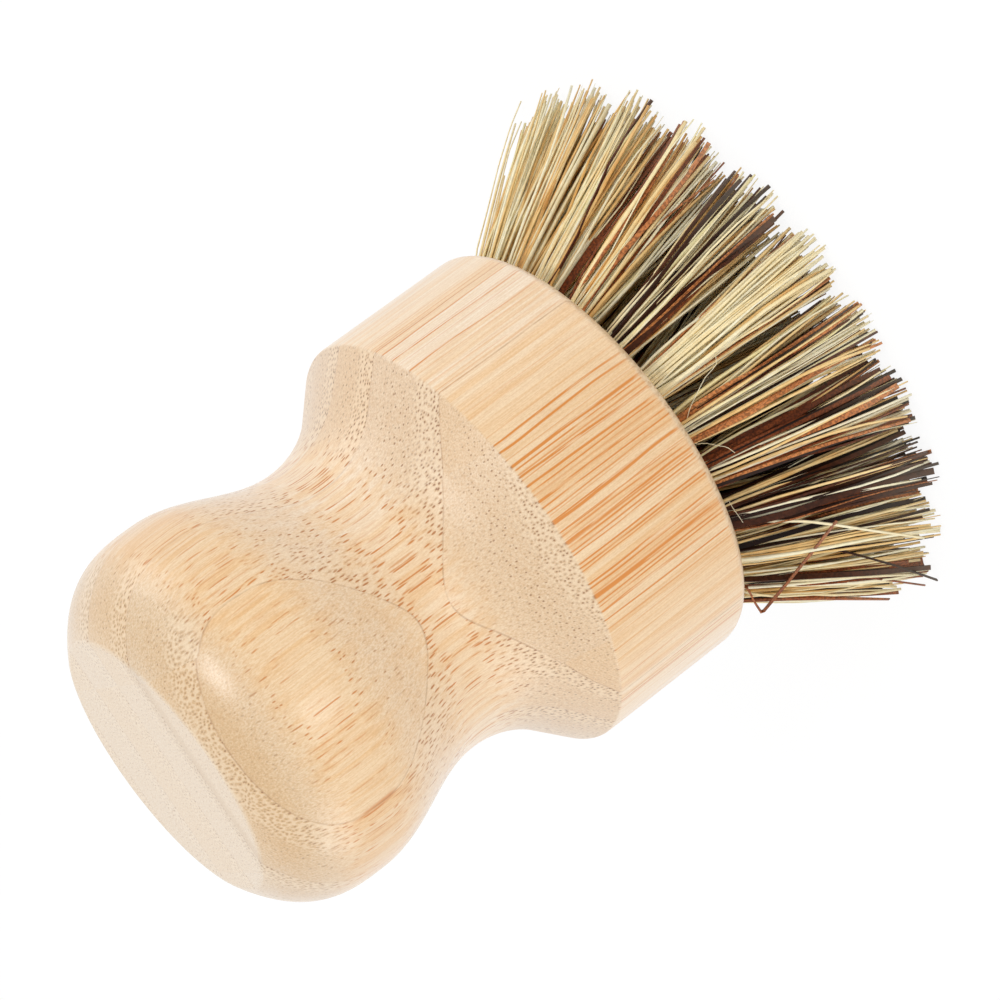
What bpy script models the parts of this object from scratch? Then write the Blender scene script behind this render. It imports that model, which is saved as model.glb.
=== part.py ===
"""Palm dish brush, standing on its bristles with the knob up.

A head and knob turned from one blank of laminated bamboo carries splayed tufts of plant fibre.
Each tuft is folded round a flat metal anchor, driven to the bottom of its own drilled hole.
Metres, +Z up. The origin is on the brush's axis, in the plane of the bristle tips.
"""

from collections import namedtuple
from math import cos, pi, radians, sin, tan
from random import Random

import bmesh
import bpy
from mathutils import Matrix, Vector

# Turned handle, from the bristle face up
HEAD_DIAMETER = 0.0550
BAND_HEIGHT = 0.0200
RIM_ROUND = 0.0015
SHOULDER_ROUND = 0.0015
SHOULDER_SLOPE = radians(45)
SHOULDER_SWEEP = 0.0140
NECK_DIAMETER = 0.0388
NECK_TO_KNOB = 0.0170
KNOB_DIAMETER = 0.0478
KNOB_TO_FLAT = 0.0132
KNOB_FALL_POWER = 3.05
FLAT_DIAMETER = 0.0338
FLAT_ROUND = 0.0015
TURN_STEPS = 48
CURVE_STEPS = 8
SWEEP_STEPS = 5
ROUND_STEPS = 3

# Drilled holes, all made with one drill, in rings that lean outwards
HOLE_DIAMETER = 0.0042
HOLE_DEPTH = 0.0095
HOLE_SIDES = 12
OUTER_COUNT = 22
OUTER_INSET = 0.0072
OUTER_TILT = radians(20)
INNER_COUNT = 6
INNER_RING_SHARE = 0.5
INNER_TILT = radians(10)
FIRST_TUFT_TURN = radians(-86.1)

# Tufts: a packed root in the hole, and strands that fan out past the head to the tip plane
BRISTLE_REACH = 0.0227
BRISTLE_OVERHANG = 0.0093
ROOT_PROUD = 0.0006
STRAND_WIDTH = 0.00048
STRAND_ROOTING = 0.0010
STRAND_RING_COUNTS = (1, 5, 9)
STRAND_RING_SHARES = (0.0, 0.5, 1.0)
INNER_ZONE_SHARE = 0.33
OUTER_ZONE_SHARE = 0.70
TIP_GAP = 0.0014
TIP_STRAY = 0.0003
TIP_UNEVEN = 0.0018
TIP_CUT = 0.0005
TUFT_SEED = 3

# Anchors: flat wire across the hole, biting a little into its wall on both sides
ANCHOR_THICKNESS = 0.0005
ANCHOR_HEIGHT = 0.0020
ANCHOR_BITE = 0.0003
ANCHOR_DEPTH = 0.0073

# Clearance between touching pieces, how far a cutter runs past what it cuts, and the turning's weld
FIT = 0.0003
OVERRUN = 0.0020
WELD = 0.00001

HEAD_RADIUS = HEAD_DIAMETER / 2
NECK_RADIUS = NECK_DIAMETER / 2
KNOB_RADIUS = KNOB_DIAMETER / 2
FLAT_RADIUS = FLAT_DIAMETER / 2
HOLE_RADIUS = HOLE_DIAMETER / 2
ROOT_RADIUS = HOLE_RADIUS - FIT
BRISTLE_RADIUS = HEAD_RADIUS + BRISTLE_OVERHANG
OUTER_RING_RADIUS = HEAD_RADIUS - OUTER_INSET

# A ring of tufts: where the holes are, how they lean, and the part of the tip circle they fill
Ring = namedtuple("Ring", "name count radius tilt zone_start zone_end")
RINGS = (
    Ring("outer", OUTER_COUNT, OUTER_RING_RADIUS, OUTER_TILT,
         OUTER_ZONE_SHARE * BRISTLE_RADIUS, BRISTLE_RADIUS + TIP_GAP / 2),
    Ring("inner", INNER_COUNT, INNER_RING_SHARE * OUTER_RING_RADIUS, INNER_TILT,
         INNER_ZONE_SHARE * BRISTLE_RADIUS, OUTER_ZONE_SHARE * BRISTLE_RADIUS),
    Ring("centre", 1, 0.0, 0.0, 0.0, INNER_ZONE_SHARE * BRISTLE_RADIUS),
)


def new_collection(name):
    collection = bpy.data.collections.new(name)
    bpy.context.scene.collection.children.link(collection)
    return collection


def new_object(name, mesh, collection, *materials):
    obj = bpy.data.objects.new(name, mesh)
    collection.objects.link(obj)
    for material in materials:
        mesh.materials.append(material)
    return obj


def mesh_from(work, name):
    mesh = bpy.data.meshes.new(name)
    work.to_mesh(mesh)
    work.free()
    return mesh


def finish_material(name, colour, roughness, metallic):
    material = bpy.data.materials.new(name)
    material.use_nodes = True
    shader = material.node_tree.nodes["Principled BSDF"]
    shader.inputs["Base Color"].default_value = (*colour, 1.0)
    shader.inputs["Roughness"].default_value = roughness
    shader.inputs["Metallic"].default_value = metallic
    return material


def hide_helper(obj):
    obj.hide_render = True
    obj.display_type = "WIRE"


def round_corner(before, corner, after, radius):
    """Points of an arc tangent to both legs of a corner, no longer than half of either leg."""
    to_before = before - corner
    to_after = after - corner
    half_angle = to_before.angle(to_after) / 2
    reach = min(radius / tan(half_angle), to_before.length / 2, to_after.length / 2)
    arc_radius = reach * tan(half_angle)
    middle = (to_before.normalized() + to_after.normalized()).normalized()
    centre = corner + middle * (arc_radius / sin(half_angle))
    start = corner + to_before.normalized() * reach - centre
    end = corner + to_after.normalized() * reach - centre
    turn = start.angle(end)
    points = []
    for step in range(ROUND_STEPS + 1):
        share = step / ROUND_STEPS
        spoke = start * sin((1 - share) * turn) + end * sin(share * turn)
        points.append(centre + spoke / sin(turn))
    return points


def handle_profile():
    """(radius, height over the bristle face), from the middle of the knob's flat round to the face."""
    slope_run = HEAD_RADIUS - NECK_RADIUS - SHOULDER_SWEEP * (1 - cos(SHOULDER_SLOPE))
    sweep_start = BAND_HEIGHT + slope_run / tan(SHOULDER_SLOPE)
    neck_height = sweep_start + SHOULDER_SWEEP * sin(SHOULDER_SLOPE)
    knob_height = neck_height + NECK_TO_KNOB
    flat_height = knob_height + KNOB_TO_FLAT

    knob_fall = []
    for step in range(CURVE_STEPS, 0, -1):
        share = step / CURVE_STEPS
        radius = KNOB_RADIUS - (KNOB_RADIUS - FLAT_RADIUS) * share ** KNOB_FALL_POWER
        knob_fall.append(Vector((radius, knob_height + KNOB_TO_FLAT * share)))

    knob_rise = []
    for step in range(CURVE_STEPS + 1):
        share = step / CURVE_STEPS
        swell = (1 + cos(pi * share)) / 2
        radius = NECK_RADIUS + (KNOB_RADIUS - NECK_RADIUS) * swell
        knob_rise.append(Vector((radius, knob_height - NECK_TO_KNOB * share)))

    shoulder_sweep = []
    for step in range(1, SWEEP_STEPS + 1):
        angle = SHOULDER_SLOPE * step / SWEEP_STEPS
        radius = NECK_RADIUS + SHOULDER_SWEEP * (1 - cos(angle))
        shoulder_sweep.append(Vector((radius, neck_height - SHOULDER_SWEEP * sin(angle))))

    flat_middle = Vector((0.0, flat_height))
    face_middle = Vector((0.0, 0.0))
    shoulder = Vector((HEAD_RADIUS, BAND_HEIGHT))
    rim = Vector((HEAD_RADIUS, 0.0))
    return (
        [flat_middle]
        + round_corner(flat_middle, knob_fall[0], knob_fall[1], FLAT_ROUND)
        + knob_fall[1:]
        + knob_rise
        + shoulder_sweep
        + round_corner(shoulder_sweep[-1], shoulder, rim, SHOULDER_ROUND)
        + round_corner(shoulder, rim, face_middle, RIM_ROUND)
        + [face_middle]
    )


def turned_handle(collection, material):
    work = bmesh.new()
    corners = [work.verts.new((p.x, 0.0, BRISTLE_REACH + p.y)) for p in handle_profile()]
    for first, second in zip(corners, corners[1:]):
        work.edges.new((first, second))
    handle = new_object("handle", mesh_from(work, "handle"), collection, material)
    screw = handle.modifiers.new("turned", "SCREW")
    screw.steps = TURN_STEPS
    screw.render_steps = TURN_STEPS
    screw.use_merge_vertices = True
    screw.merge_threshold = WELD
    screw.use_smooth_shade = True
    return handle


def hole_frame(ring, index):
    """Where a hole leaves the bristle face. X points away from the brush's axis, Z into the wood."""
    azimuth = FIRST_TUFT_TURN + 2 * pi * index / ring.count
    return (
        Matrix.Rotation(azimuth, 4, "Z")
        @ Matrix.Translation((ring.radius, 0.0, BRISTLE_REACH))
        @ Matrix.Rotation(-ring.tilt, 4, "Y")
    )


def cylinder_between(bottom, top, radius):
    """A straight cylinder on the local Z axis."""
    work = bmesh.new()
    bmesh.ops.create_cone(
        work,
        cap_ends=True,
        segments=HOLE_SIDES,
        radius1=radius,
        radius2=radius,
        depth=top - bottom,
        matrix=Matrix.Translation((0.0, 0.0, (bottom + top) / 2)),
    )
    return work


def anchor_block(length, thickness, height):
    """A flat bar across the hole, at the depth where the anchor lies."""
    work = bmesh.new()
    place = Matrix.Translation((0.0, 0.0, ANCHOR_DEPTH))
    size = Matrix.Diagonal((length, thickness, height, 1.0))
    bmesh.ops.create_cube(work, size=1.0, matrix=place @ size)
    return work


def drilled_holes(collection):
    """One cutter for each hole, and one for the pocket that its anchor bites into the wall."""
    hole = mesh_from(cylinder_between(-OVERRUN, HOLE_DEPTH, HOLE_RADIUS), "hole")
    pocket = mesh_from(
        anchor_block(
            HOLE_DIAMETER + 2 * (ANCHOR_BITE + FIT),
            ANCHOR_THICKNESS + 2 * FIT,
            ANCHOR_HEIGHT + 2 * FIT,
        ),
        "anchor_pocket",
    )
    for ring in RINGS:
        for index in range(ring.count):
            for kind, mesh in (("hole", hole), ("pocket", pocket)):
                cutter = new_object(f"{kind}_{ring.name}_{index + 1:02d}", mesh, collection)
                cutter.matrix_world = hole_frame(ring, index)
                hide_helper(cutter)


def strand_layout(chance):
    """(share of the bundle's radius, angle) of each strand in rings, all turned by chance."""
    turn = chance.uniform(0, 2 * pi)
    places = []
    for count, share in zip(STRAND_RING_COUNTS, STRAND_RING_SHARES):
        for index in range(count):
            places.append((share, turn + 2 * pi * index / count))
    return places


def strand_mesh(ring, index, fibre_count, chance):
    """The strands of one tuft, four-sided and straight, fanned evenly so that none cross."""
    azimuth = Matrix.Rotation(FIRST_TUFT_TURN + 2 * pi * index / ring.count, 4, "Z")
    mouth_height = BRISTLE_REACH - ROOT_PROUD
    bundle_radius = ROOT_RADIUS - STRAND_WIDTH
    root_middle = ring.radius + ROOT_PROUD * tan(ring.tilt)
    if ring.radius > 0:
        tip_middle = (ring.zone_start + ring.zone_end) / 2
        tip_half_depth = (ring.zone_end - ring.zone_start - TIP_GAP) / 2
        tip_half_width = pi * tip_middle / ring.count - TIP_GAP / 2
    else:
        tip_middle = 0.0
        tip_half_depth = tip_half_width = ring.zone_end - TIP_GAP / 2
    work = bmesh.new()
    for number, (share, angle) in enumerate(strand_layout(chance)):
        out = share * cos(angle)
        along = share * sin(angle)
        root = Vector((root_middle + bundle_radius * out, bundle_radius * along, mouth_height))
        stray = Vector((chance.uniform(-1, 1), chance.uniform(-1, 1), 0.0)) * TIP_STRAY
        tip = Vector((tip_middle + tip_half_depth * out, tip_half_width * along, 0.0)) + stray
        lean = (tip - root) / mouth_height
        start = root - lean * STRAND_ROOTING
        end = tip - lean * max(0.0, chance.uniform(-TIP_CUT, TIP_UNEVEN))
        facing = Matrix.Rotation(angle, 4, "Z") @ Matrix.Scale(STRAND_WIDTH, 4)
        strand = bmesh.ops.create_cube(work, size=1.0)["verts"]
        for vert in strand:
            middle = start if vert.co.z > 0 else end
            vert.co = middle + facing @ Vector((vert.co.x, vert.co.y, 0.0))
        for face in {face for vert in strand for face in vert.link_faces}:
            face.material_index = number % fibre_count
    bmesh.ops.transform(work, matrix=azimuth, verts=work.verts)
    return mesh_from(work, "strands")


def packed_root(ring, index):
    """The folded end of a tuft, filling its hole and cut level just outside the bristle face."""
    work = cylinder_between(-ROOT_PROUD - OVERRUN, HOLE_DEPTH - FIT, ROOT_RADIUS)
    bmesh.ops.transform(work, matrix=hole_frame(ring, index), verts=work.verts)
    cut = bmesh.ops.bisect_plane(
        work,
        geom=work.verts[:] + work.edges[:] + work.faces[:],
        plane_co=(0.0, 0.0, BRISTLE_REACH - ROOT_PROUD),
        plane_no=(0.0, 0.0, -1.0),
        clear_outer=True,
    )
    rim = [edge for edge in cut["geom_cut"] if isinstance(edge, bmesh.types.BMEdge)]
    bmesh.ops.contextual_create(work, geom=rim)
    bmesh.ops.recalc_face_normals(work, faces=work.faces)
    return mesh_from(work, "root")


def tuft(ring, index, label, parts, helpers, fibres, chance):
    """One tuft: its packed root, joined to its strands, with an eye where the anchor passes."""
    body = new_object(f"tuft_{label}", packed_root(ring, index), parts, *fibres)
    fan = strand_mesh(ring, index, len(fibres), chance)
    strands = new_object(f"strands_{label}", fan, helpers, *fibres)
    eye = new_object(
        f"eye_{label}",
        mesh_from(
            anchor_block(
                HOLE_DIAMETER + OVERRUN,
                ANCHOR_THICKNESS + 2 * FIT,
                ANCHOR_HEIGHT + 2 * FIT,
            ),
            "eye",
        ),
        helpers,
    )
    eye.matrix_world = hole_frame(ring, index)
    for helper, name, operation in ((strands, "strands", "UNION"), (eye, "eye", "DIFFERENCE")):
        hide_helper(helper)
        join = body.modifiers.new(name, "BOOLEAN")
        join.operation = operation
        join.solver = "EXACT"
        join.object = helper


def anchor(ring, index, label, parts, material):
    """The flat wire that a tuft is folded round."""
    bar = anchor_block(HOLE_DIAMETER + 2 * ANCHOR_BITE, ANCHOR_THICKNESS, ANCHOR_HEIGHT)
    piece = new_object(f"anchor_{label}", mesh_from(bar, "anchor"), parts, material)
    piece.matrix_world = hole_frame(ring, index)


def build_brush():
    for obj in list(bpy.data.objects):
        bpy.data.objects.remove(obj)
    parts = new_collection("dish_brush")
    cutters = new_collection("hole_cutters")
    helpers = new_collection("tuft_helpers")

    bamboo = finish_material("lacquered_bamboo", (0.85, 0.66, 0.44), 0.38, 0.0)
    wire = finish_material("galvanised_wire", (0.62, 0.62, 0.60), 0.35, 1.0)
    fibres = (
        finish_material("straw_fibre", (0.72, 0.60, 0.32), 0.55, 0.0),
        finish_material("pale_fibre", (0.80, 0.72, 0.48), 0.55, 0.0),
        finish_material("brown_fibre", (0.28, 0.09, 0.04), 0.60, 0.0),
    )

    handle = turned_handle(parts, bamboo)
    drilled_holes(cutters)
    drilling = handle.modifiers.new("drilled", "BOOLEAN")
    drilling.operation = "DIFFERENCE"
    drilling.solver = "EXACT"
    drilling.operand_type = "COLLECTION"
    drilling.collection = cutters

    chance = Random(TUFT_SEED)
    for ring in RINGS:
        for index in range(ring.count):
            label = f"{ring.name}_{index + 1:02d}" if ring.count > 1 else ring.name
            tuft(ring, index, label, parts, helpers, fibres, chance)
            anchor(ring, index, label, parts, wire)


build_brush()
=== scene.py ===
"""A palm-held dish brush: one turned bamboo handle with splayed tufts of straw and palm fibre.

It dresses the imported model. Metres, +Z up, the bristle tips in the plane of the floor.
"""

from math import cos, pi, radians, sin, tan
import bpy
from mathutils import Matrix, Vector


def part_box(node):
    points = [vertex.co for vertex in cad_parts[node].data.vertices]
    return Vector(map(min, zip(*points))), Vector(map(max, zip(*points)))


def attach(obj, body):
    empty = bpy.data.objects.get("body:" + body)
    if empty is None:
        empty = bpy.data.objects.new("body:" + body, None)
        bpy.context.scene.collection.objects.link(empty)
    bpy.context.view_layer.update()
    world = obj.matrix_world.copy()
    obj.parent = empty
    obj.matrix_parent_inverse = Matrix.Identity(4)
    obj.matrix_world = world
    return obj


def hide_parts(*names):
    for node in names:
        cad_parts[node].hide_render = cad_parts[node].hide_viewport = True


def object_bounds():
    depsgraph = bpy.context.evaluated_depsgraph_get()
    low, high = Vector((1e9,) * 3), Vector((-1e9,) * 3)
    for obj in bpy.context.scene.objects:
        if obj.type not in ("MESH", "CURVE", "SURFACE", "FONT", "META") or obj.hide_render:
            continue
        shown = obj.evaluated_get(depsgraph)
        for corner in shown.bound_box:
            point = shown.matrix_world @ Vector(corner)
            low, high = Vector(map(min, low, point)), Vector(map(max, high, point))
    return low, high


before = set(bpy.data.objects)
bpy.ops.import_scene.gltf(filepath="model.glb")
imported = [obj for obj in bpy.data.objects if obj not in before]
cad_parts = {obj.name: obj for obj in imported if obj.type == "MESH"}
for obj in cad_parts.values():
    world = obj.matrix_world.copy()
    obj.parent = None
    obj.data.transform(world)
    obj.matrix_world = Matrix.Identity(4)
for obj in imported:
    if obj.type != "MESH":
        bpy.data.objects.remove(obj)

from types import SimpleNamespace

import bpy
import numpy as np
from mathutils import Matrix, Vector

cad_low, cad_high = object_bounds()


# The handle: head, neck and knob are turned from one blank of bamboo strips glued flat on flat,
# the fibres running up the brush. It is sanded, lacquered thinly, and drilled from below for the
# tufts, so its glue lines and cut fibres show but it never comes apart.
handle_low, handle_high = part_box("handle")
face_height = handle_low.z
flat_height = handle_high.z
head_radius = (handle_high.x - handle_low.x) / 2
band_height = 0.0200
rim_round = 0.0015
shoulder_round = 0.0008
shoulder_slope = radians(45)
shoulder_sweep = 0.0140
neck_radius = 0.0194
neck_to_knob = 0.0170
knob_radius = 0.0239
knob_fall_power = 3.05
flat_radius = 0.0169
flat_round = 0.0015
turn_count = 256

hole_radius = 0.0021
hole_depth = 0.0095
hole_overrun = 0.0020
hole_sides = 24
ring_lean = {"outer": radians(20), "inner": radians(10), "centre": 0.0}


def bend(middle_radius, middle_height, size, first, last, count):
    """An arc of the outline: its middle plus its size times the cosine and sine of even angles."""
    angle = np.linspace(first, last, count)
    return np.stack([middle_radius + size * np.cos(angle), middle_height + size * np.sin(angle)], 1)


def handle_outline():
    """Radius and height from the drilled face up to the knob's flat.

    Rounds and the neck's hollow are arcs, the knob swells from the neck as half a cosine wave,
    and it falls to the flat as a power of the share of the height.
    """
    reach = shoulder_round * tan(shoulder_slope / 2)
    band_top = face_height + band_height
    sweep_low = band_top + head_radius - neck_radius - shoulder_sweep * (1 - cos(shoulder_slope))
    neck_height = sweep_low + shoulder_sweep * sin(shoulder_slope)
    knob_height = neck_height + neck_to_knob
    fall = flat_height - knob_height
    lean = np.arctan2(fall, (knob_radius - flat_radius) * knob_fall_power)
    cut = flat_round * tan(lean / 2)
    last_share = 1 - cut * sin(lean) / fall

    rise_share = np.linspace(0, 1, 40)[1:]
    rise = knob_radius - (knob_radius - neck_radius) * (1 + np.cos(pi * rise_share)) / 2
    fall_share = np.linspace(0, last_share, 40)[1:]
    drop = knob_radius - (knob_radius - flat_radius) * fall_share ** knob_fall_power
    return np.concatenate([
        bend(head_radius - rim_round, face_height + rim_round, rim_round, -pi / 2, 0, 9),
        bend(head_radius - shoulder_round, band_top - reach, shoulder_round, 0, shoulder_slope, 7),
        bend(neck_radius + shoulder_sweep, neck_height, shoulder_sweep, pi + shoulder_slope, pi, 24),
        np.stack([rise, neck_height + neck_to_knob * rise_share], 1),
        np.stack([drop, knob_height + fall * fall_share], 1),
        bend(flat_radius - cut, flat_height - flat_round, flat_round, pi / 2 - lean, pi / 2, 8)[1:],
    ])


def tube_mesh(name, rings, kinds=None):
    """Closed tubes from an array of tubes by rings by sides by three.

    Neighbouring points of neighbouring rings make the walls, and the first and last ring of
    each tube is closed by one face. A kind for each tube picks its material.
    """
    tubes, steps, sides, _ = rings.shape
    place = np.arange(tubes * steps * sides).reshape(tubes, steps, sides)
    onward = np.roll(place, -1, axis=2)
    walls = np.stack([place[:, :-1], onward[:, :-1], onward[:, 1:], place[:, 1:]], -1)
    ends = np.concatenate([place[:, 0, ::-1], place[:, -1]])
    mesh = bpy.data.meshes.new(name)
    mesh.from_pydata(rings.reshape(-1, 3), [], walls.reshape(-1, 4).tolist() + ends.tolist())
    mesh.polygons.foreach_set("use_smooth", np.arange(len(mesh.polygons)) < walls.size // 4)
    if kinds is not None:
        wall_kinds = np.repeat(kinds, (steps - 1) * sides)
        mesh.polygons.foreach_set("material_index", np.concatenate([wall_kinds, kinds, kinds]))
    return mesh


def show(name, mesh, *materials):
    """Puts a mesh in the scene at the origin with its materials."""
    piece = bpy.data.objects.new(name, mesh)
    bpy.context.scene.collection.objects.link(piece)
    for material in materials:
        mesh.materials.append(material)
    return piece


def turned(outline, sides):
    """A turned solid: each outline point carried round the Z axis in even steps."""
    angle = 2 * pi * np.arange(sides) / sides
    radius, height = outline[:, :1], outline[:, 1:]
    level = np.broadcast_to(height, (len(outline), sides))
    return np.stack([radius * np.cos(angle), radius * np.sin(angle), level], -1)[None]


def hole_place(label):
    """Where a hole leaves the drilled face: X away from the brush's middle, Z into the wood.

    The anchor's box gives a point of the hole's line, and the ring's lean gives its direction.
    """
    ring = label.split("_")[0]
    low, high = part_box("anchor_" + label)
    anchor = (low + high) / 2
    turn = Matrix.Rotation(np.arctan2(anchor.y, anchor.x) if ring != "centre" else 0.0, 4, "Z")
    lean = Matrix.Rotation(-ring_lean[ring], 4, "Y")
    inward = turn @ lean @ Vector((0.0, 0.0, 1.0))
    mouth = anchor - inward * ((anchor.z - face_height) / inward.z)
    return np.array(Matrix.Translation(mouth) @ turn @ lean)


def moved(points, place):
    """Points turned and shifted by a four by four matrix."""
    return points @ place[:3, :3].T + place[:3, 3]


tuft_labels = sorted(name.removeprefix("tuft_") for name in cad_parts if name.startswith("tuft_"))
hole_places = {label: hole_place(label) for label in tuft_labels}


def node(tree, kind, inputs=(), **settings):
    """One shader node. A socket given as an input is linked, and anything else is its value."""
    made = tree.nodes.new("ShaderNode" + kind)
    for name, value in settings.items():
        setattr(made, name, value)
    for name, value in dict(inputs).items():
        if isinstance(value, bpy.types.NodeSocket):
            tree.links.new(value, made.inputs[name])
        else:
            made.inputs[name].default_value = value
    return made


def reckon(tree, operation, *values):
    """The result of one Math node on one, two or three values."""
    return node(tree, "Math", dict(enumerate(values)), operation=operation).outputs[0]


def product(tree, *values):
    """All the values multiplied together, one after another."""
    result = values[0]
    for value in values[1:]:
        result = reckon(tree, "MULTIPLY", result, value)
    return result


def far_from(tree, value, middle):
    """How far a value lies from a middle value."""
    return reckon(tree, "ABSOLUTE", reckon(tree, "SUBTRACT", value, middle))


def step_between(tree, value, low, high, start=0.0, end=1.0):
    """Goes smoothly from start to end while the value goes from low to high."""
    inputs = {"Value": value, "From Min": low, "From Max": high, "To Min": start, "To Max": end}
    return node(tree, "MapRange", inputs, interpolation_type="SMOOTHSTEP").outputs["Result"]


def mixed(tree, share, first, second, blend="MIX"):
    """Two colours mixed by a share."""
    inputs = {0: share, 6: first, 7: second}
    return node(tree, "Mix", inputs, data_type="RGBA", blend_type=blend).outputs[2]


def tinted(tree, share, colour, tint):
    """A colour multiplied by a tint where the share is one, and left as it is at nought."""
    return mixed(tree, share, colour, mixed(tree, 1.0, colour, tint, "MULTIPLY"))


def paint(red, green, blue):
    """A colour read as 0 to 255 on screen, turned into the linear light that shaders use."""
    screen = np.array([red, green, blue]) / 255
    linear = np.where(screen < 0.04045, screen / 12.92, ((screen + 0.055) / 1.055) ** 2.4)
    return (*linear.tolist(), 1.0)


# The blank: glue lines in millimetres through its thickness, near side first, and the tone of
# the strip after each one. Two seams join strips side by side, and the whole is turned a little.
strip_turn = (0.0, 0.0, radians(10.2))
glue_lines = (-28.6, -19.4, -10.6, -2.7, 5.6, 13.9, 22.2, 30.0)
strip_tones = (0.70, 0.35, 0.55, 0.15, 0.60, 0.25, 0.80)
left_seam = -14.6
right_seam = 10.8

# Levels in the wood count from this height over the drilled face, and angles are in degrees
level_start = 0.036
warmest_azimuth = -104.0
knob_bundle_azimuth = -136.5

# The fibre bundles, close and wide: spacing, dark core, outer edge and the weakest one's strength
bundle_sorts = ((0.46, 0.09, 0.31, 0.35), (0.62, 0.07, 0.22, 0.25))

# The boldest bundles that the turned band lays open: degrees round the brush, half width, strength
bold_streaks = (
    (-124.0, 0.35, 0.5), (-119.6, 0.75, 0.9), (-117.0, 0.30, 0.8), (-115.9, 0.30, 0.9),
    (-112.3, 0.25, 0.5), (-108.0, 0.22, 0.6), (-104.5, 0.40, 0.9), (-101.6, 0.22, 0.6),
    (-98.8, 0.50, 0.9), (-96.0, 0.22, 0.5), (-93.0, 0.35, 0.9), (-89.0, 0.35, 0.9),
    (-86.3, 0.35, 0.9), (-82.8, 0.45, 1.0), (-78.5, 0.35, 0.8), (-76.3, 0.35, 0.8),
    (-47.0, 0.30, 0.5), (-40.5, 0.30, 0.6), (-36.0, 0.35, 0.5), (-33.4, 0.25, 0.5),
)


def wood_noise(wood, scale, detail):
    """Soft noise in the wood with its own scale along u, v and the height."""
    place = node(wood.tree, "Mapping", {"Vector": wood.across, "Scale": scale})
    inputs = {"Vector": place.outputs[0], "Scale": 1.0, "Detail": detail}
    return node(wood.tree, "TexNoise", inputs).outputs["Fac"]


def place_in_wood(tree):
    """Where a point lies in the wood, and how the surface faces there.

    In millimetres, u runs across the strips, v through their thickness, and level up the brush
    from just over the neck's narrowest place. The azimuth is degrees round the brush from +X,
    and it wanders a little as the fibres do. on_band is one on the head's side.
    """
    here = node(tree, "TexCoord")
    across = node(tree, "Mapping", {
        "Vector": here.outputs["Object"],
        "Rotation": strip_turn,
        "Scale": (1000.0, 1000.0, 1000.0),
    })
    wood = SimpleNamespace(tree=tree, across=across.outputs[0])
    wood.u, wood.v, height = node(tree, "SeparateXYZ", {0: wood.across}).outputs
    wood.level = reckon(tree, "ADD", height, -1000 * (face_height + level_start))

    facing = node(tree, "Mapping", {"Vector": here.outputs["Normal"], "Rotation": strip_turn})
    _, wood.facing_v, wood.facing_z = node(tree, "SeparateXYZ", {0: facing.outputs[0]}).outputs

    x, y, _ = node(tree, "SeparateXYZ", {0: here.outputs["Object"]}).outputs
    wander = reckon(tree, "MULTIPLY_ADD", wood_noise(wood, (0.2, 0.2, 0.08), 1.0), 0.030, -0.015)
    azimuth = reckon(tree, "ADD", reckon(tree, "ARCTAN2", y, x), wander)
    wood.azimuth = reckon(tree, "DEGREES", azimuth)
    edge = 1000 * (band_height - level_start)
    wood.on_band = step_between(tree, wood.level, edge - 0.2, edge + 0.4, 1.0, 0.0)
    return wood


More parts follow.
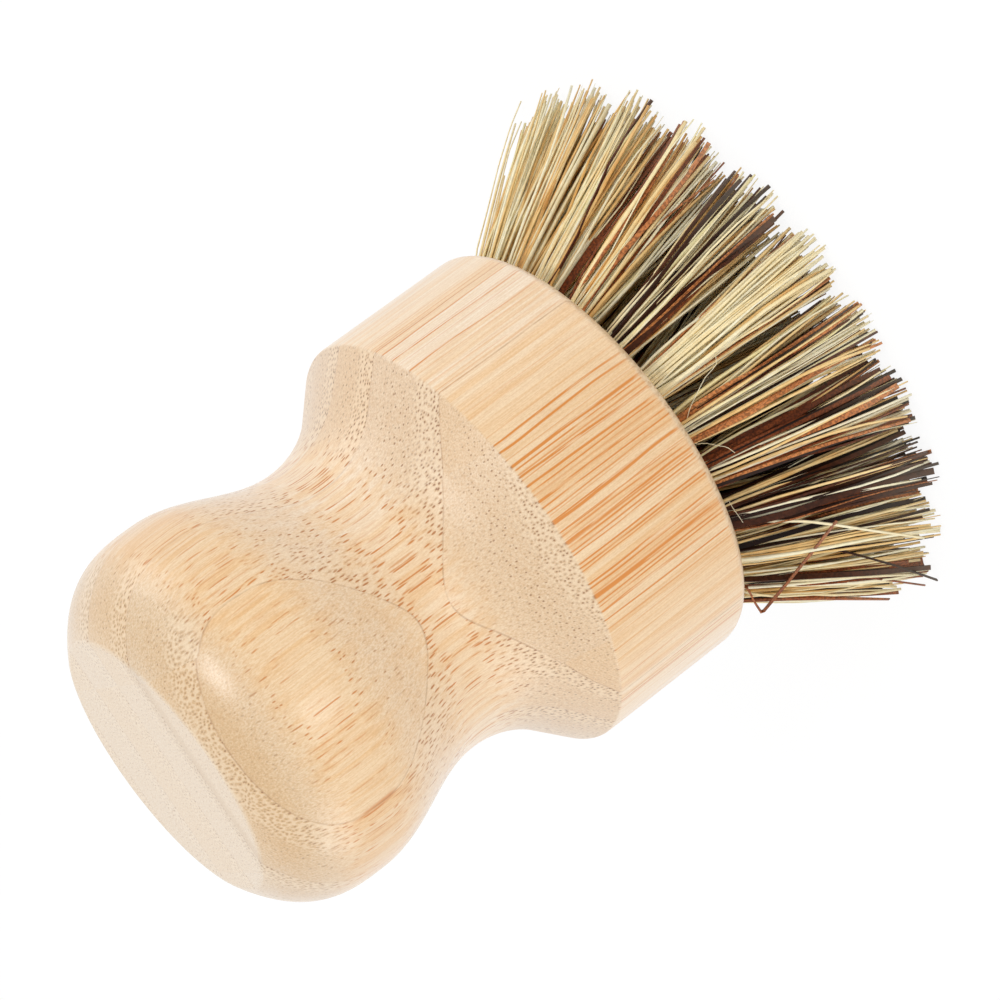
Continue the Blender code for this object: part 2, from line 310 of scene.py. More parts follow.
def find_strip(wood):
    """Adds to the wood its depth, and the share, tone, shift and glue of the strip at that depth.

    The depth is v plus a dish of second order across u, a twist that grows up the brush and a
    slow sway. The share runs from nought at a strip's outer side to one at its inner side.
    """
    tree = wood.tree

    # The outer strip's glue line isn't quite flat, so it misses the neck and rounds the knob
    above = reckon(tree, "MAXIMUM", wood.level, -14.0)
    dish = product(tree, wood.u, reckon(tree, "MULTIPLY_ADD", wood.u, -0.00120, 0.0455))
    twist = reckon(tree, "MULTIPLY_ADD", above, -0.00168, 0.0213)
    twist = reckon(tree, "MULTIPLY_ADD", wood.u, -0.00224, twist)
    warp = reckon(tree, "ADD", reckon(tree, "MULTIPLY_ADD", above, twist, dish), 0.27)
    warp = product(tree, warp, step_between(tree, wood.v, -17.5, -13.5, 1.0, 0.0))
    sway = reckon(tree, "MULTIPLY_ADD", wood_noise(wood, (0.10, 0.10, 0.05), 1.0), 0.3, -0.15)

    # Seams between strips that lie side by side show only as a step in the pattern
    left_strip = reckon(tree, "LESS_THAN", wood.u, left_seam)
    right_strip = reckon(tree, "GREATER_THAN", wood.u, right_seam)
    wood.shift = reckon(tree, "MULTIPLY_ADD", left_strip, 0.15, product(tree, right_strip, 0.15))
    side_tone = reckon(tree, "MULTIPLY_ADD", left_strip, 0.35, product(tree, right_strip, 0.60))
    bent = reckon(tree, "ADD", wood.v, warp)
    wood.depth = reckon(tree, "ADD", bent, reckon(tree, "ADD", wood.shift, sway))

    start, end = glue_lines[:2]
    tone = reckon(tree, "ADD", side_tone, strip_tones[0])
    for index in range(1, len(strip_tones)):
        before, line, after = glue_lines[index - 1:index + 2]
        passed = reckon(tree, "GREATER_THAN", wood.depth, line)
        start = reckon(tree, "MULTIPLY_ADD", passed, line - before, start)
        end = reckon(tree, "MULTIPLY_ADD", passed, after - line, end)
        change = strip_tones[index] - strip_tones[index - 1]
        tone = reckon(tree, "MULTIPLY_ADD", passed, change, tone)
    wood.tone = reckon(tree, "FRACT", tone)
    through = {"Value": wood.depth, "From Min": start, "From Max": end}
    wood.share = node(tree, "MapRange", through).outputs[0]

    # A glue line keeps its width where the surface runs nearly along it
    inside = reckon(tree, "SUBTRACT", wood.depth, start)
    nearest = reckon(tree, "MINIMUM", inside, reckon(tree, "SUBTRACT", end, wood.depth))
    square = product(tree, wood.facing_v, wood.facing_v)
    slant = reckon(tree, "SQRT", reckon(tree, "SUBTRACT", 1.0, square))
    away = reckon(tree, "DIVIDE", nearest, reckon(tree, "MAXIMUM", slant, 0.04))
    outermost = reckon(tree, "LESS_THAN", wood.depth, (glue_lines[1] + glue_lines[2]) / 2)
    broken = step_between(tree, wood_noise(wood, (0.5, 0.5, 0.5), 2.0), 0.34, 0.60, 0.30, 1.0)
    strength = reckon(tree, "MULTIPLY_ADD", outermost, 0.18, 0.20)
    wood.glue = product(tree, step_between(tree, away, 0.05, 0.16, 1.0, 0.0), strength, broken)


def find_bundles(wood):
    """Adds to the wood how strongly fibre bundles show, and how pale the gaps between them are.

    The bundles are the spots of two cell patterns over u and v, the same all the way up: close
    ones near a strip's outer side and wide ones further in, each with its own strength from
    nought to about one. The pale gaps are those between close ones.
    """
    tree = wood.tree
    drift = reckon(tree, "MULTIPLY_ADD", wood_noise(wood, (0.3, 0.3, 0.04), 1.0), 0.7, wood.u)
    bundle_u = reckon(tree, "MULTIPLY_ADD", wood.tone, 37.0, drift)

    # The knob bends the pattern more, or its open bundles would lie in one ring
    most_weave = step_between(tree, wood.level, 0.0, 12.0, 0.0, 1.6)
    weave = product(tree, wood_noise(wood, (0.4, 0.4, 0.22), 1.0), most_weave)
    bundle_v = reckon(tree, "ADD", reckon(tree, "ADD", wood.v, wood.shift), weave)
    spot = node(tree, "CombineXYZ", {0: bundle_u, 1: bundle_v, 2: 0.0}).outputs[0]

    patterns = []
    gaps = []
    for spacing, core, edge, weakest in bundle_sorts:
        inputs = {"Vector": spot, "Scale": 1 / spacing, "Randomness": 0.80}
        cells = node(tree, "TexVoronoi", inputs, voronoi_dimensions="2D")
        dot = step_between(tree, cells.outputs["Distance"], core, edge, 1.0, 0.0)
        chance = node(tree, "SeparateColor", {0: cells.outputs["Color"]}).outputs[0]
        patterns.append(product(tree, dot, step_between(tree, chance, 0.0, 0.9, weakest, 1.0)))
        gaps.append(cells.outputs["Distance"])

    further_in = step_between(tree, wood.share, 0.26, 0.46)
    close = reckon(tree, "SUBTRACT", 1.0, further_in)
    close_part = product(tree, patterns[0], close)
    wide_part = product(tree, patterns[1], further_in)
    lasting = step_between(tree, wood_noise(wood, (1.4, 1.4, 0.14), 2.0), 0.30, 0.47, 0.25, 1.0)
    wood.bundles = product(
        tree,
        reckon(tree, "MAXIMUM", close_part, wide_part),
        lasting,
        step_between(tree, wood.share, 0.55, 0.97, 1.0, 0.32),
        step_between(tree, wood.share, 0.01, 0.12, 1.45, 0.88),
    )
    wood.pale_between = product(tree, step_between(tree, gaps[0], 0.36, 0.52), close)


def lay_open_bundles(wood):
    """Adds the streaks of bundles that the turning lays open, and fades all bundles at the rim.

    A streak is a smooth step down from its azimuth to both sides, frayed by a long noise. On
    the band the bold ones stand out from the rest, which are calmed, most of all right of the
    front.
    """
    tree = wood.tree
    frayed = step_between(tree, wood_noise(wood, (3.0, 3.0, 0.12), 2.0), 0.34, 0.48, 0.25, 1.0)
    streaks = 0.0
    for turn, half, strength in bold_streaks:
        off = far_from(tree, wood.azimuth, turn)
        streak = step_between(tree, off, half * 0.3, half * 1.15, strength, 0.0)
        streaks = reckon(tree, "MAXIMUM", streaks, streak)
    waning = step_between(tree, wood.level, -38.0, -18.0, 0.50, 1.0)
    streaks = product(tree, streaks, frayed, wood.on_band, waning)
    calm_start = step_between(tree, wood.azimuth, -84.0, -70.0)
    calm_end = step_between(tree, wood.azimuth, -24.0, -6.0, 1.0, 0.0)
    calm = reckon(tree, "MULTIPLY_ADD", product(tree, calm_start, calm_end), 0.48, 0.25)
    calm = product(tree, wood.on_band, calm)
    bundles = product(tree, wood.bundles, reckon(tree, "SUBTRACT", 1.0, calm))
    bundles = reckon(tree, "MAXIMUM", bundles, streaks)

    # One bundle lies broad along the knob, under its glue line
    off = far_from(tree, wood.azimuth, knob_bundle_azimuth)
    knob_streak = product(
        tree,
        step_between(tree, off, 0.2, 1.4, 0.75, 0.0),
        step_between(tree, wood.level, 12.6, 14.2),
        step_between(tree, wood.level, 17.4, 19.8, 1.0, 0.0),
        frayed,
    )
    bundles = reckon(tree, "MAXIMUM", bundles, knob_streak)

    # They fade out unevenly where the sanding rounds the rim
    rim_noise = wood_noise(wood, (1.6, 1.6, 0.3), 1.0)
    ending = reckon(tree, "MULTIPLY_ADD", rim_noise, 5.0, wood.level)
    wood.bundles = product(tree, bundles, step_between(tree, ending, -33.5, -31.0, 0.35, 1.0))


def ground_colour(wood, crosscut):
    """The wood between its bundles: greyer cut across, and warm along the fibres.

    It is warmest at the front of the band and all round the knob, and the sanded flat is pale.
    """
    tree = wood.tree
    on_flat = step_between(tree, wood.facing_z, 0.74, 0.99)
    front = step_between(tree, far_from(tree, wood.azimuth, warmest_azimuth), 16.0, 62.0, 1.0, 0.0)
    warmth = product(tree, front, reckon(tree, "MULTIPLY_ADD", wood.on_band, 0.40, 0.60))
    on_knob = step_between(tree, wood.level, 4.0, 12.0, 0.0, 0.95)
    warmth = reckon(tree, "MAXIMUM", warmth, on_knob)

    broad_grain = step_between(tree, wood_noise(wood, (0.9, 0.9, 0.02), 2.0), 0.42, 0.62)
    lengthwise = mixed(tree, warmth, paint(249, 231, 208), paint(241, 212, 172))
    lengthwise = tinted(tree, broad_grain, lengthwise, paint(251, 239, 220))
    cut_across = mixed(tree, warmth, paint(236, 213, 185), paint(232, 209, 178))
    ground = mixed(tree, crosscut, lengthwise, cut_across)

    shoulder_of_knob = product(
        tree,
        step_between(tree, wood.level, 14.0, 21.0),
        step_between(tree, wood.facing_z, 0.45, 0.75),
        reckon(tree, "MULTIPLY_ADD", front, 0.60, 0.40),
    )
    ground = mixed(tree, shoulder_of_knob, ground, paint(227, 198, 158))
    ground = mixed(tree, on_flat, ground, paint(246, 231, 211))
    off = far_from(tree, wood.depth, glue_lines[2])
    end_seam = product(tree, on_flat, step_between(tree, off, 0.5, 2.4, 0.60, 0.0))
    ground = mixed(tree, end_seam, ground, paint(224, 202, 172))
    tone_tint = mixed(tree, wood.tone, paint(255, 249, 238), paint(255, 255, 255))
    ground = mixed(tree, 1.0, ground, tone_tint, "MULTIPLY")

    grained = step_between(tree, wood_noise(wood, (5.5, 5.5, 0.16), 3.0), 0.35, 0.65)
    ground = tinted(tree, grained, ground, paint(247, 238, 226))
    speckled = step_between(tree, wood_noise(wood, (5.0, 5.0, 2.2), 2.0), 0.38, 0.66)
    ground = tinted(tree, product(tree, crosscut, speckled), ground, paint(243, 237, 228))
    dulled = step_between(tree, wood_noise(wood, (8.5, 8.5, 3.0), 2.0), 0.36, 0.64, 1.0, 0.0)
    ground = tinted(tree, dulled, ground, paint(247, 243, 237))
    pale = product(tree, wood.pale_between, crosscut, 0.40)
    return mixed(tree, pale, ground, paint(246, 224, 192))


def lacquered_bamboo():
    """Bamboo strips laid flat on each other, seen along and across the fibres, under lacquer.

    Cut across, the fibre bundles are brown dots, and where the turning runs along them they are
    long orange streaks of the same bundles. The knob is polished finer than the head.
    """
    material = bpy.data.materials.new("lacquered_bamboo")
    material.use_nodes = True
    tree = material.node_tree
    shader = tree.nodes["Principled BSDF"]
    wood = place_in_wood(tree)
    find_strip(wood)
    find_bundles(wood)
    lay_open_bundles(wood)
    upright = reckon(tree, "ABSOLUTE", wood.facing_z)
    crosscut = step_between(tree, upright, 0.08, 0.60)

    streak = mixed(tree, wood.on_band, paint(206, 128, 46), paint(214, 128, 8))
    fibre = mixed(tree, crosscut, streak, paint(150, 104, 60))
    inked = product(
        tree,
        wood.bundles,
        reckon(tree, "MULTIPLY_ADD", crosscut, -0.55, 1.40),
        step_between(tree, wood.level, 4.0, 14.0, 1.32, 0.82),
    )
    inked = reckon(tree, "MINIMUM", inked, 1.0)
    colour = mixed(tree, inked, ground_colour(wood, crosscut), fibre)
    colour = mixed(tree, wood.glue, colour, paint(156, 102, 54))
    tree.links.new(colour, shader.inputs["Base Color"])

    dust = node(tree, "TexNoise", {"Vector": wood.across, "Scale": 4.0, "Detail": 3.0}).outputs["Fac"]
    pits = product(tree, dust, step_between(tree, crosscut, 0.0, 1.0, 0.4, 1.6))
    relief = reckon(tree, "SUBTRACT", pits, wood.bundles)
    open_grain = node(tree, "Bump", {"Height": relief, "Strength": 0.35, "Distance": 0.00006})
    tree.links.new(open_grain.outputs[0], shader.inputs["Normal"])
    left_open = step_between(tree, wood.level, -8.0, 6.0, 0.40, 0.14)
    filled = node(tree, "Bump", {"Height": relief, "Strength": left_open, "Distance": 0.00006})
    tree.links.new(filled.outputs[0], shader.inputs["Coat Normal"])
    coat_roughness = step_between(tree, wood.level, -8.0, 6.0, 0.34, 0.24)
    tree.links.new(coat_roughness, shader.inputs["Coat Roughness"])
    tree.links.new(step_between(tree, dust, 0.3, 0.7, 0.42, 0.56), shader.inputs["Roughness"])
    shader.inputs["Coat Weight"].default_value = 1.0
    return material


bamboo = lacquered_bamboo()
handle = show("turned_handle", tube_mesh("turned_handle", turned(handle_outline(), turn_count)), bamboo)
drill_outline = np.array([[hole_radius, -hole_overrun], [hole_radius, hole_depth]])
drill = turned(drill_outline, hole_sides)[0]
drills = np.stack([moved(drill, place) for place in hole_places.values()])
holes = show("holes", tube_mesh("holes", drills), bamboo)
drilling = handle.modifiers.new("drilled", "BOOLEAN")
drilling.operation = "DIFFERENCE"
drilling.solver = "EXACT"
drilling.object = holes
bpy.context.view_layer.update()
drilled = bpy.data.meshes.new_from_object(handle.evaluated_get(bpy.context.evaluated_depsgraph_get()))
handle.modifiers.clear()
handle.data = drilled
bpy.data.objects.remove(holes)
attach(handle, "root")
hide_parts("handle")


# The anchors: short flat pieces of galvanised wire, one across each hole. A machine drives each
# one in with its tuft, and its ends bite into the wood on both sides and hold the fold down.
def galvanised_wire():
    """Grey zinc, drawn lengthwise, with the soft bloom of the plating."""
    material = bpy.data.materials.new("galvanised_wire")
    material.use_nodes = True
    tree = material.node_tree
    shader = tree.nodes["Principled BSDF"]
    here = node(tree, "TexCoord").outputs["Object"]
    bloom = node(tree, "TexNoise", {"Vector": here, "Scale": 2500.0, "Detail": 3.0}).outputs["Fac"]
    colour = mixed(tree, bloom, paint(172, 174, 176), paint(206, 207, 205))
    tree.links.new(colour, shader.inputs["Base Color"])
    tree.links.new(step_between(tree, bloom, 0.3, 0.7, 0.28, 0.45), shader.inputs["Roughness"])
    shader.inputs["Metallic"].default_value = 1.0
    return material


wire = galvanised_wire()
for label in tuft_labels:
    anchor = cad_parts["anchor_" + label]
    anchor.data.materials.clear()
    anchor.data.materials.append(wire)


# The tufts: bundles of straw and split palm fibre, each strand folded in the middle round its
# anchor so that both its ends stand out of the hole. They splay to a wide crown, and are cut
# level by a machine that leaves them a little uneven.
mouth_radius = 0.00180
fold_depth = 0.0089
fold_height = 0.0004

# Half the gap between a tuft's two halves, in shares of the mouth, and how far the halves have
# closed up at three depths down the hole
half_gap = 0.06
closing_in = ((0.0014, 1.0), (0.0060, 0.96), (fold_depth - fold_height, 0.72))

# The crown: each tuft fills its zone of it, and one side of the brush is a little longer
crown_radius = (cad_high.x - cad_low.x) / 2
inner_zone_share = 0.33
outer_zone_share = 0.70
zone_fill = (0.97, 0.94)
outer_count = sum(label.startswith("outer") for label in tuft_labels)
inner_count = sum(label.startswith("inner") for label in tuft_labels)
long_side = 0.0011
long_side_turn = radians(4)
long_side_power = 4
trimmed_overhang = -0.0003
fine_overhang = 0.0009

# How strands stray from their even lay, in shares of the zone and in metres
aim_spread = 0.10
loose_share = 0.07
loose_spread = 0.40
fan_power = 1.45
bow_spread = 0.00032
curl_spread = 0.00020
tip_lift = 0.0001
tip_uneven = 0.0030
fine_tip_uneven = 0.3
fine_reach = 1.10
fibre_steps = np.array([0.0, 0.06, 0.18, 0.34, 0.50, 0.66, 0.83, 1.0])

# Straw, brown palm and black palm: how wide, flat, tapered and knotty a strand is
fibre_sides = 4
section_fill = 0.7
strand_width = np.array([0.00034, 0.00054, 0.00060])
strand_width_spread = np.array([0.00010, 0.00028, 0.00030])
strand_flatness = np.array([0.75, 0.34, 0.28])
strand_taper = np.array([1.0, 0.5, 0.5])
strand_swell = np.array([0.04, 0.16, 0.16])
most_taper = 0.60
half_roll = 0.7
fine_share = 0.16
fine_width = 0.5

# Brown and black palm among the ends of each tuft, in turn round a ring, as chance has mixed them
palm_shares = {
    "outer": (
        (0.09, 0.02), (0.10, 0.09), (0.18, 0.015), (0.17, 0.02), (0.07, 0.01), (0.02, 0.00),
        (0.01, 0.00), (0.03, 0.01), (0.12, 0.05), (0.08, 0.02), (0.18, 0.08), (0.05, 0.03),
        (0.14, 0.10), (0.20, 0.05), (0.10, 0.07), (0.06, 0.03), (0.04, 0.03), (0.09, 0.05),
        (0.10, 0.04), (0.12, 0.21), (0.16, 0.16), (0.09, 0.04),
    ),
    "inner": ((0.08, 0.04), (0.08, 0.03), (0.06, 0.02), (0.15, 0.10), (0.20, 0.16), (0.18, 0.18)),
    "centre": ((0.25, 0.25),),
}
usual_palm_share = 0.12
heaping = 0.6


def crown_zone(label):
    """The part of the crown that a tuft's tips fill: middle radius, half depth and half width."""
    ring = label.split("_")[0]
    if ring == "outer":
        low, high, count = outer_zone_share * crown_radius, crown_radius, outer_count
    elif ring == "inner":
        low, high, count = inner_zone_share * crown_radius, outer_zone_share * crown_radius, inner_count
    else:
        return 0.0, inner_zone_share * crown_radius, inner_zone_share * crown_radius
    middle = (low + high) / 2
    return middle, (high - low) / 2, pi * middle / count


def kind_shares(label):
    """Shares of brown and of black palm in a tuft."""
    ring, _, number = label.partition("_")
    return palm_shares[ring][int(number or 1) - 1]


def strand_rings(path, width, flatness, twist):
    """Four-sided strands along their paths.

    A ring's corners stand off its middle by the width times the cosine of even angles to the
    side, and by the width times the flatness times their sine outwards, turned by the twist.
    """
    along = np.gradient(path, axis=1)
    along /= np.linalg.norm(along, axis=2, keepdims=True)
    outward = path.mean(1) * [1.0, 1.0, 0.0] + [0.0, 0.0, 1e-6]
    first = np.cross(along, (outward / np.linalg.norm(outward, axis=1, keepdims=True))[:, None])
    first /= np.linalg.norm(first, axis=2, keepdims=True)
    second = np.cross(along, first)
    corner = 2 * pi * (np.arange(fibre_sides) + 0.5) / fibre_sides
    wide = width[..., None] * np.cos(corner) * section_fill
    thick = (width * flatness[:, None])[..., None] * np.sin(corner) * section_fill
    across = (wide * np.cos(twist)[..., None] - thick * np.sin(twist)[..., None])[..., None]
    upright = (wide * np.sin(twist)[..., None] + thick * np.cos(twist)[..., None])[..., None]
    rings = path[:, :, None] + across * first[:, :, None] + upright * second[:, :, None]

    # No corner reaches under the floor
    rings[..., 2] = np.maximum(rings[..., 2], 0.0)
    return rings


def half_disc_seeds(strands, chance):
    """Places of the strands in one half of the hole's mouth, of radius one.

    They are laid out as seeds lie in a sunflower: the radius is the root of the seed's share of
    the count, and each seed is the golden angle on from the last.
    """
    number = np.arange(2 * strands) + 0.5
    spread = np.sqrt(number / (2 * strands))
    seed_turn = number * pi * (3 - 5 ** 0.5) + chance.uniform(0, 2 * pi)
    seeds = np.stack([spread * np.cos(seed_turn), spread * np.sin(seed_turn)], 1)
    seeds = seeds[np.argsort(-seeds[:, 1])][:strands]
    seeds[:, 1] = np.abs(seeds[:, 1]) + half_gap
    return seeds


def strand_tips(label, seeds, mirror, fine, out, aside, chance):
    """Where the ends of a tuft's strands stand on the floor.

    A seed's place in the mouth gives its place in the tuft's zone, spread by chance, and a few
    loose ones stray further. Ends past the crown's edge are drawn in to it, fine ones less.
    """
    middle, half_depth, half_width = crown_zone(label)
    strands = len(seeds)
    aim = seeds * [1.0, mirror] + chance.normal(0, aim_spread, (strands, 2))
    loose = chance.uniform(size=(strands, 1)) < loose_share
    aim += loose * chance.normal(0, loose_spread, (strands, 2))
    aim /= np.maximum(1.0, np.linalg.norm(aim, axis=1, keepdims=True))
    aim *= np.where(fine, fine_reach, 1.0)[:, None]
    outward = middle + half_depth * zone_fill[0] * aim[:, :1]
    tips = out * outward + aside * (half_width * zone_fill[1] * aim[:, 1:])

    azimuth = np.arctan2(out[1], out[0])
    longer = long_side * max(0.0, cos(azimuth - long_side_turn)) ** long_side_power
    edge = crown_radius + longer + np.where(fine, fine_overhang, trimmed_overhang)[:, None]
    tips *= 1 + longer / crown_radius
    tips *= np.minimum(1.0, edge / np.linalg.norm(tips[:, :2], axis=1, keepdims=True))
    uneven = tip_uneven * chance.beta(0.9, 3.2, strands)
    tips[:, 2] = tip_lift + uneven * np.where(fine, fine_tip_uneven, 1.0)
    return tips


def strand_paths(label, seeds, fine, chance):
    """The middle line of each strand, from one tip down its leg, round the fold and up to the other.

    The legs start at mirrored places in the hole's mouth. Each runs to its tip with its share of
    the run, its sideways part with a power of that share, so that a tuft stays slim at its hole
    and fans out further on. A parabola bows it and a whole wave curls it.
    """
    place = hole_places[label]
    ring = label.split("_")[0]
    azimuth = np.arctan2(place[1, 3], place[0, 3]) if ring != "centre" else 0.0
    out = np.array([cos(azimuth), sin(azimuth), 0.0])
    aside = np.array([-sin(azimuth), cos(azimuth), 0.0])
    strands = len(seeds)
    share = fibre_steps[:, None, None]
    legs = []
    for mirror in (1.0, -1.0):
        start = seeds * [1.0, mirror] * mouth_radius
        tips = strand_tips(label, seeds, mirror, fine, out, aside, chance)
        rise = -start[:, 0] * tan(ring_lean[ring])
        mouth = moved(np.stack([start[:, 0], start[:, 1], rise], 1), place)
        run = tips - mouth
        sideways = (run @ aside)[:, None] * aside
        bow = chance.normal(0, bow_spread, (strands, 1)) * out
        bow = bow + chance.normal(0, bow_spread, (strands, 1)) * aside
        curl = chance.normal(0, curl_spread, (strands, 1)) * out
        curl = curl + chance.normal(0, curl_spread, (strands, 1)) * aside
        free = mouth + run * share + sideways * (share ** fan_power - share)
        free = free + bow * 4 * share * (1 - share) + curl * np.sin(2 * pi * share)
        deep = []
        for depth, narrowing in closing_in:
            local = np.stack([start[:, 0], start[:, 1] * narrowing, np.full(strands, depth)], 1)
            deep.append(moved(local, place))
        legs.append(np.concatenate([free[::-1], np.stack(deep)]))
    fold = np.stack([seeds[:, 0] * mouth_radius, np.zeros(strands), np.full(strands, fold_depth)], 1)
    fold = moved(fold, place)[None]
    return np.concatenate([legs[0], fold, legs[1][::-1]]).transpose(1, 0, 2)


def tuft_rings(label, strands, chance):
    """All strands of one tuft as rings, with their kinds and shades and how far out rings are.

    A strand's width is drawn about its kind's own, tapers with the square of how far out it is,
    swells a little by chance from ring to ring, and rolls slowly along the strand.
    """
    seeds = half_disc_seeds(strands, chance)

    # Palm strands lie together on one side of the bundle more than on the other
    brown_share, black_share = kind_shares(label)
    heap = 1 + heaping * seeds[:, 0] * np.sign(brown_share + black_share - usual_palm_share)
    draw = chance.uniform(size=strands) / heap
    kinds = np.where(draw < black_share, 2, np.where(draw < black_share + brown_share, 1, 0))
    shades = chance.uniform(size=strands)
    fine = (chance.uniform(size=strands) < fine_share) & (kinds == 0)
    path = strand_paths(label, seeds, fine, chance)
    out_share = np.concatenate([fibre_steps[::-1], np.zeros(2 * len(closing_in) + 1), fibre_steps])

    width_draw = 3 * chance.beta(1.5, 3.0, strands) - 1
    width = strand_width[kinds] + strand_width_spread[kinds] * width_draw
    width *= np.where(fine, fine_width, 1.0)
    taper = chance.uniform(0.0, most_taper, (strands, 1)) * strand_taper[kinds][:, None]
    taper = 1 - taper * out_share ** 2
    swell = 1 + strand_swell[kinds][:, None] * chance.uniform(-1, 1, path.shape[:2])
    roll = chance.uniform(0, pi, (strands, 1))
    roll = roll + chance.uniform(-half_roll, half_roll, (strands, 1)) * np.linspace(-1, 1, path.shape[1])
    rings = strand_rings(path, width[:, None] * taper * swell, strand_flatness[kinds], roll)
    return rings, kinds, shades, out_share


def ramp(tree, value, stops):
    """A colour ramp with its stops given as (place, colour)."""
    made = node(tree, "ValToRGB", {"Fac": value})
    elements = made.color_ramp.elements
    while len(elements) < len(stops):
        elements.new(1.0)
    for element, (place, colour) in zip(elements, stops):
        element.position = place
        element.color = colour
    return made.outputs["Color"]


def strand_material(name, shades, darkest, roughness, shine, grain_scale, grain_depth):
    """One kind of strand: its colour picked by the strand's shade, mottled, and paler at its tip, partly
    as painted light and partly as the thin ends' own colour.
    """
    material = bpy.data.materials.new(name)
    material.use_nodes = True
    tree = material.node_tree
    shader = tree.nodes["Principled BSDF"]
    shade = node(tree, "Attribute", attribute_name="shade").outputs["Fac"]
    outward = node(tree, "Attribute", attribute_name="outward").outputs["Fac"]
    here = node(tree, "TexCoord").outputs["Object"]
    patches = node(tree, "TexNoise", {"Vector": here, "Scale": 260.0, "Detail": 2.0}).outputs["Fac"]
    shade = reckon(tree, "ADD", shade, reckon(tree, "MULTIPLY_ADD", patches, 0.5, -0.25))
    last = len(shades) - 1
    colour = ramp(tree, shade, [(index / last, paint(*tone)) for index, tone in enumerate(shades)])
    marks = node(tree, "TexNoise", {"Vector": here, "Scale": grain_scale, "Detail": 3.0}).outputs["Fac"]
    marked = step_between(tree, marks, 0.36, 0.62, darkest, 1.0)
    grey = node(tree, "CombineColor", {0: marked, 1: marked, 2: marked}).outputs[0]
    colour = mixed(tree, 1.0, colour, grey, "MULTIPLY")
    # Painted light: the outer part of each strand is mixed toward pale cream, partly painted light on
    # the open ends and partly their own paler colour
    lit_and_pale_tip = step_between(tree, outward, 0.55, 1.0, 0.0, 0.15)
    colour = mixed(tree, lit_and_pale_tip, colour, mixed(tree, 0.5, colour, paint(252, 246, 226)))
    tree.links.new(colour, shader.inputs["Base Color"])
    bump = node(tree, "Bump", {"Height": marks, "Strength": grain_depth, "Distance": 0.00008})
    tree.links.new(bump.outputs[0], shader.inputs["Normal"])
    uneven_roughness = step_between(tree, marks, 0.3, 0.7, roughness, roughness + 0.12)
    tree.links.new(uneven_roughness, shader.inputs["Roughness"])
    shader.inputs["Specular IOR Level"].default_value = shine
    return material


straw_shades = (
    (228, 174, 98), (251, 214, 146), (254, 232, 178), (255, 242, 200), (255, 248, 218), (253, 238, 178),
)
brown_shades = ((78, 36, 20), (122, 62, 32), (168, 92, 48), (218, 142, 84))
black_shades = ((27, 13, 8), (50, 27, 17), (92, 50, 30))
straw = strand_material("straw", straw_shades, 0.90, 0.45, 0.30, 1100.0, 0.15)
brown_palm = strand_material("brown_palm", brown_shades, 0.42, 0.62, 0.20, 3600.0, 0.8)
black_palm = strand_material("black_palm", black_shades, 0.60, 0.44, 0.14, 2200.0, 0.4)


def show_fibres(name, rings, kinds, shades, outward):
    """Strands as one piece with their shade and outward attributes. Straw is round, palm has edges."""
    mesh = tube_mesh(name, rings, kinds)
    material_index = np.zeros(len(mesh.polygons), dtype=np.int32)
    mesh.polygons.foreach_get("material_index", material_index)
    smooth = np.zeros(len(mesh.polygons), dtype=bool)
    mesh.polygons.foreach_get("use_smooth", smooth)
    mesh.polygons.foreach_set("use_smooth", smooth & (material_index == 0))
    tubes, steps, sides, _ = rings.shape
    shade = mesh.attributes.new("shade", "FLOAT", "POINT")
    shade.data.foreach_set("value", np.repeat(shades, steps * sides))
    reach = mesh.attributes.new("outward", "FLOAT", "POINT")
    reach.data.foreach_set("value", np.tile(np.repeat(outward, sides), tubes))
    piece = show(name, mesh, straw, brown_palm, black_palm)
    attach(piece, "root")
    return piece


# The seven tufts inside have more strands, as they stand for the many tufts of the real brush
outer_strands = 66
inner_strands = 100
for index, label in enumerate(tuft_labels):
    strands = outer_strands if label.startswith("outer") else inner_strands
    rings, kinds, shades, outward = tuft_rings(label, strands, np.random.default_rng(100 + index))
    tuft = show_fibres("fibres_" + label, rings, kinds, shades, outward)
    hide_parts("tuft_" + label)


